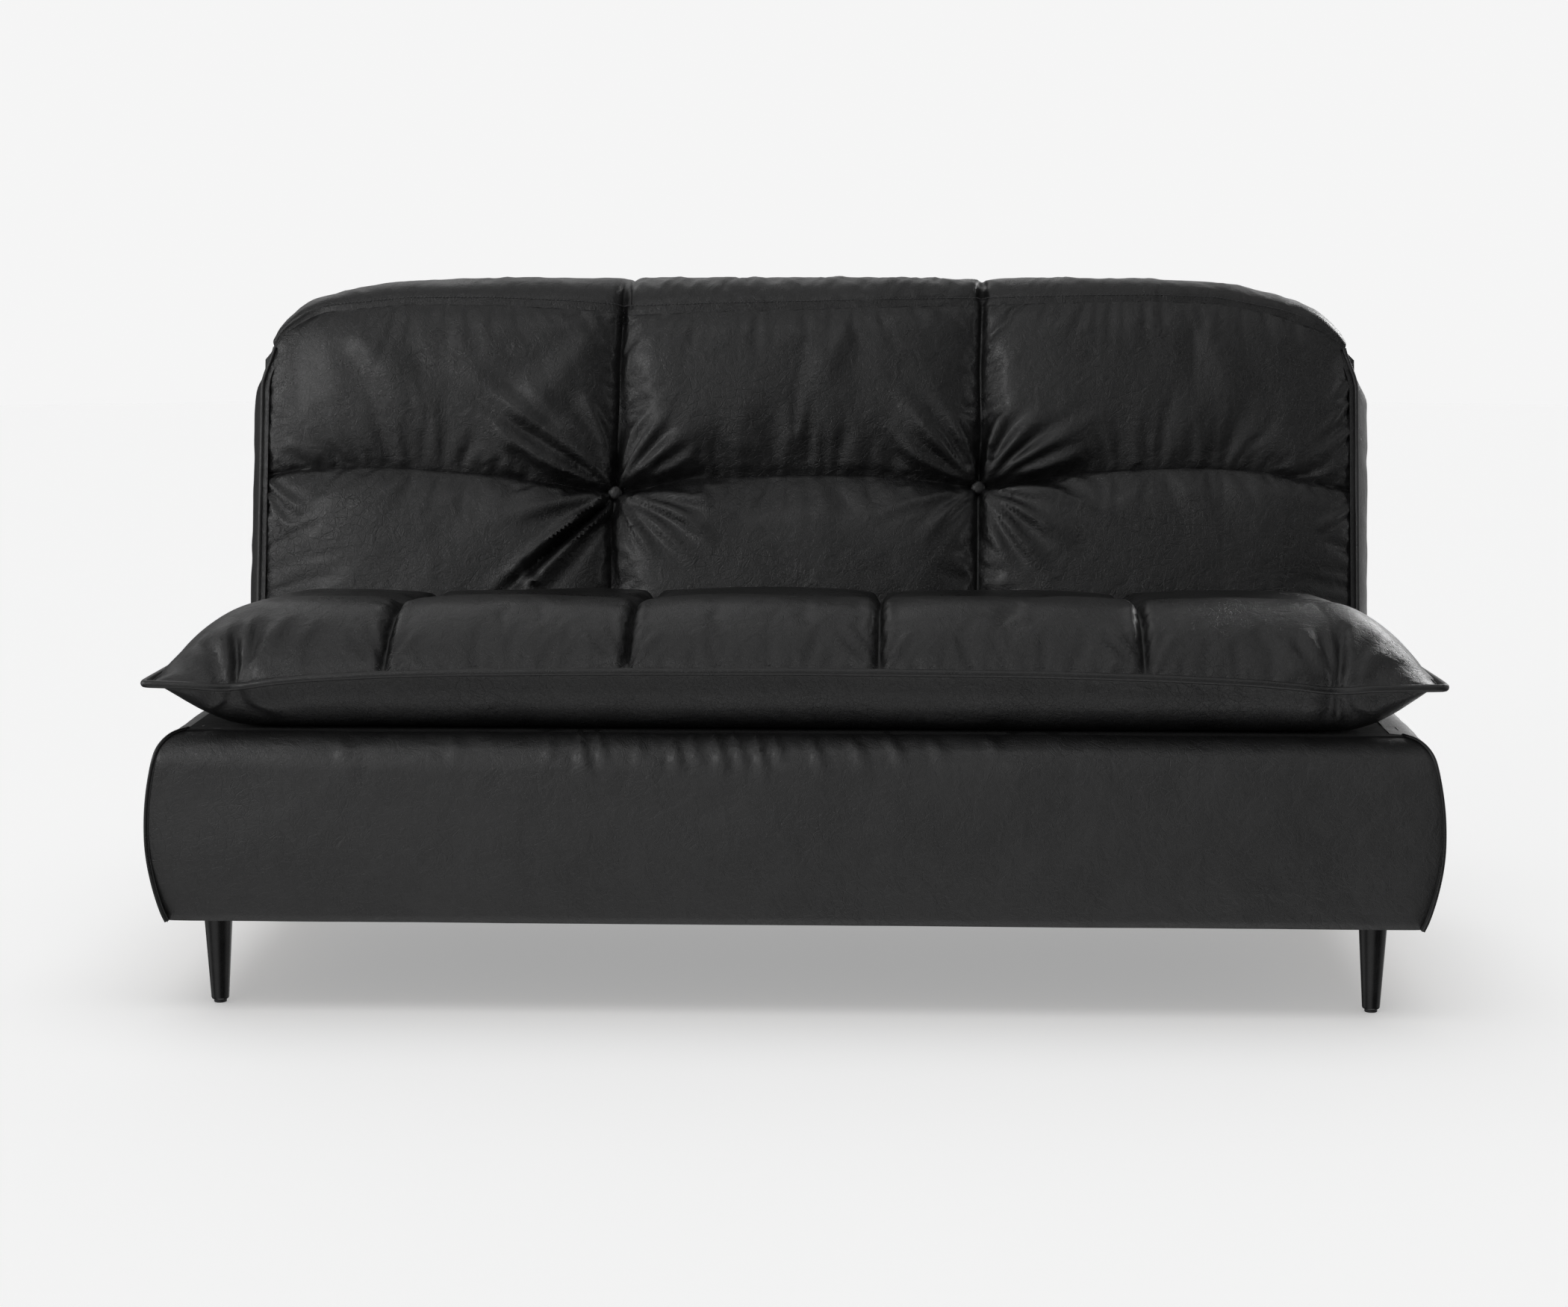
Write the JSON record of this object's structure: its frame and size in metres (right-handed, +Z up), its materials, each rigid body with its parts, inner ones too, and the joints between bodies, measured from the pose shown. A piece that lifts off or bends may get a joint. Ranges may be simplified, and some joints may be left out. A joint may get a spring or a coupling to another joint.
{
  "type": "futon sofa bed",
  "caption": "Armless sofa bed in black leather: piped pillow seat on a padded base with tapered legs, and a buttoned back that folds down flat.",
  "frame": {"origin": "on the floor under the middle of the sofa's outline, with the back upright", "axes": "+X to the right of someone facing the seat from the front, +Y from the seat's front edge to the rear, +Z up"},
  "size_m": [1.6, 0.851, 0.9052],
  "materials": {
    "black_leather": "semi-gloss, fine crackle grain",
    "foam": "open-cell foam",
    "black_cloth": "woven, dull",
    "pine": "sawn, unfinished",
    "black_leg": "black satin lacquer",
    "zinc_steel": "zinc plated",
    "black_nylon": "matt",
    "black_rubber": "matt"
  },
  "bodies": {
    "base": {"base_front_cover": "black_leather", "base_rear_cover": "black_leather", "base_side_cover_left": "black_leather", "base_side_cover_right": "black_leather", "centre_beam": "pine", "corner_blocks": "pine", "deck_bumpers": "black_rubber", "dust_cover": "black_cloth", "front_board": "pine", "hinge_bearers": "pine", "hinge_pins": "zinc_steel", "hinge_plate_bolts": "zinc_steel", "hinge_plate_left": "zinc_steel", "hinge_plate_right": "zinc_steel", "leg_bolts": "zinc_steel", "leg_front_left": "black_leg", "leg_front_right": "black_leg", "leg_glides": "black_nylon", "leg_plate_screws": "zinc_steel", "leg_plates": "zinc_steel", "leg_rear_left": "black_leg", "leg_rear_right": "black_leg", "pawl_pins": "zinc_steel", "pawl_spring_left": "zinc_steel", "pawl_spring_right": "zinc_steel", "rear_board": "pine", "rear_deck_board": "pine", "rear_deck_cover": "black_leather", "seat_deck_cloth": "black_cloth", "seat_foam_slab": "foam", "seat_pillow": "black_leather", "seat_piping": "black_leather", "seat_rear_rail": "pine", "seat_springs": "zinc_steel", "side_board_left": "pine", "side_board_right": "pine", "spring_clips": "zinc_steel"},
    "back": {"back_bottom_rail": "pine", "back_cushion": "black_leather", "back_foam_core": "foam", "back_lower_foam": "foam", "back_mid_stiles": "pine", "back_rear_cover": "black_leather", "back_side_panel_left": "black_leather", "back_side_panel_right": "black_leather", "back_stile_left": "pine", "back_stile_right": "pine", "back_top_panel": "black_leather", "back_top_rail": "pine", "back_webbing": "black_cloth", "hinge_arm_bolts": "zinc_steel", "hinge_arm_left": "zinc_steel", "hinge_arm_right": "zinc_steel", "tuft_button_left": "black_leather", "tuft_button_right": "black_leather", "tuft_twines": "black_cloth", "tuft_washers": "zinc_steel"},
    "catch_left": {"pawl_left": "zinc_steel"},
    "catch_right": {"pawl_right": "zinc_steel"}
  },
  "joints": [
    {"name": "back_recline", "type": "hinge", "parent": "base", "child": "back", "pos_m": [0, 0.2595, 0.3891], "axis": [-1, 0, 0], "range_deg": [0, 78]},
    {"name": "catch_left_turn", "type": "hinge", "parent": "base", "child": "catch_left", "pos_m": [-0.6872, 0.2265, 0.3491], "axis": [-1, 0, 0], "range_deg": [0, 39.5]},
    {"name": "catch_right_turn", "type": "hinge", "parent": "base", "child": "catch_right", "pos_m": [0.6872, 0.2265, 0.3491], "axis": [-1, 0, 0], "range_deg": [0, 39.5]}
  ],
  "couplings": [
    {"joint": "catch_left_turn", "follows": "back_recline", "ratio": 0.5},
    {"joint": "catch_right_turn", "follows": "back_recline", "ratio": 0.5}
  ]
}
